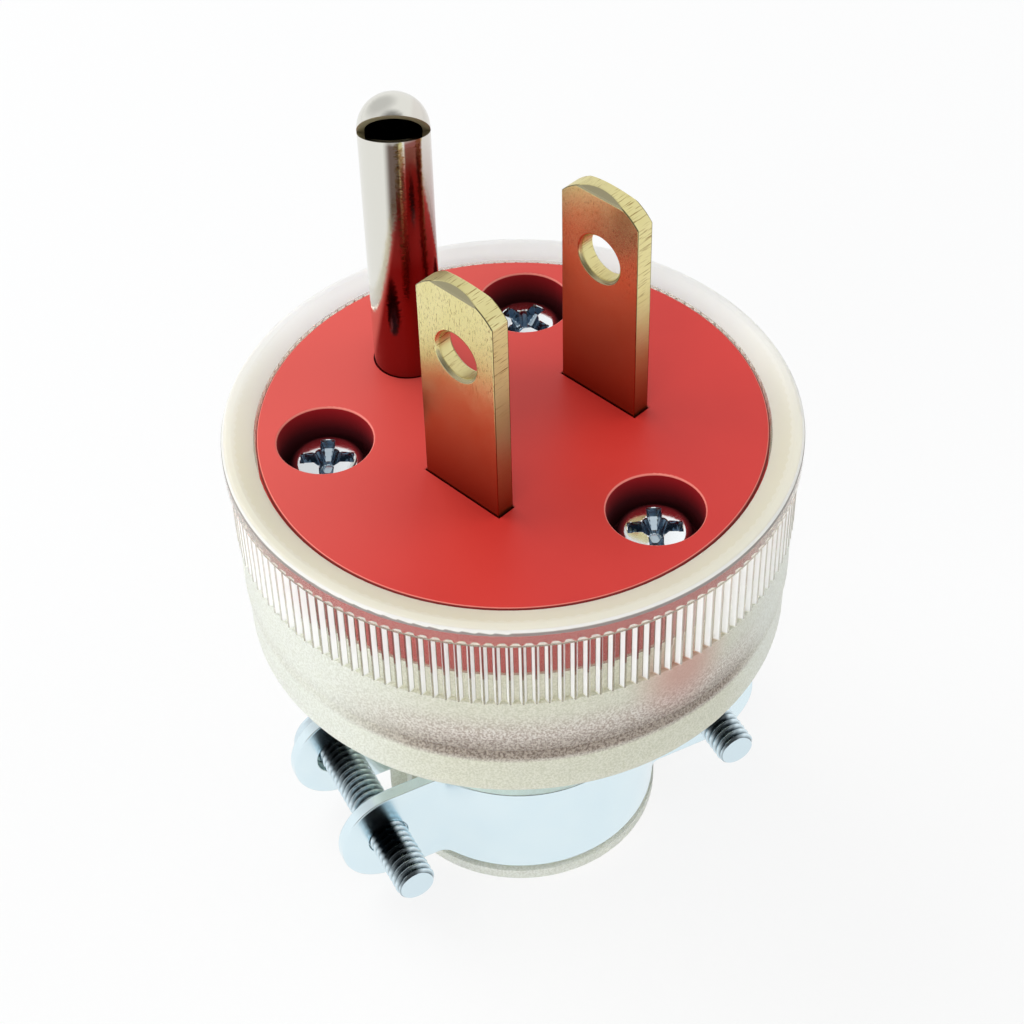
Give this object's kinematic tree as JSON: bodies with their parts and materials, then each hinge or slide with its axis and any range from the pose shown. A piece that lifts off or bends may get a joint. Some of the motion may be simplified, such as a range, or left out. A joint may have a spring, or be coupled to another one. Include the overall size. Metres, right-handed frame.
{
  "type": "electrical plug",
  "caption": "Rewirable type B mains plug: two flat blades and a round ground pin in a red face, clear knurled shell, steel cord clamp on the neck.",
  "frame": {"origin": "centre of the red contact face, on the shell's axis; the shell's rim stands 0.4 mm above this face", "axes": "+Z out of the contact face along the blades and the pin, +X from the left to the right blade, +Y from the blades to the ground pin"},
  "size_m": [0.038, 0.038, 0.057],
  "materials": {
    "clear_shell": "frosted clear polycarbonate",
    "red_insert": "satin moulded red",
    "ivory_barrier": "natural moulded",
    "brass_blade": "stamped brass",
    "nickel_pin": "nickel plated, rolled",
    "brass_plate": "stamped brass",
    "brass_screw": "turned brass",
    "silver_screw": "nickel plated",
    "green_screw": "green dyed plating",
    "zinc_saddle": "zinc plated",
    "bright_screw": "bright plated",
    "zinc_strap": "blue zinc plated",
    "zinc_screw": "blue zinc plated"
  },
  "bodies": {
    "root": {"shell": "clear_shell", "face_insert": "red_insert", "contact_barrier": "ivory_barrier", "blade_left": "brass_blade", "blade_right": "brass_blade", "ground_pin": "nickel_pin", "ground_terminal": "brass_plate", "terminal_screw_left": "brass_screw", "terminal_screw_right": "silver_screw", "terminal_screw_ground": "green_screw", "saddle_left": "zinc_saddle", "saddle_right": "zinc_saddle", "saddle_ground": "zinc_saddle", "assembly_screw_left": "bright_screw", "assembly_screw_right": "bright_screw", "assembly_screw_front": "bright_screw", "strap_front": "zinc_strap", "strap_rear": "zinc_strap", "clamp_screw_left": "zinc_screw", "clamp_screw_right": "zinc_screw"}
  },
  "joints": []
}
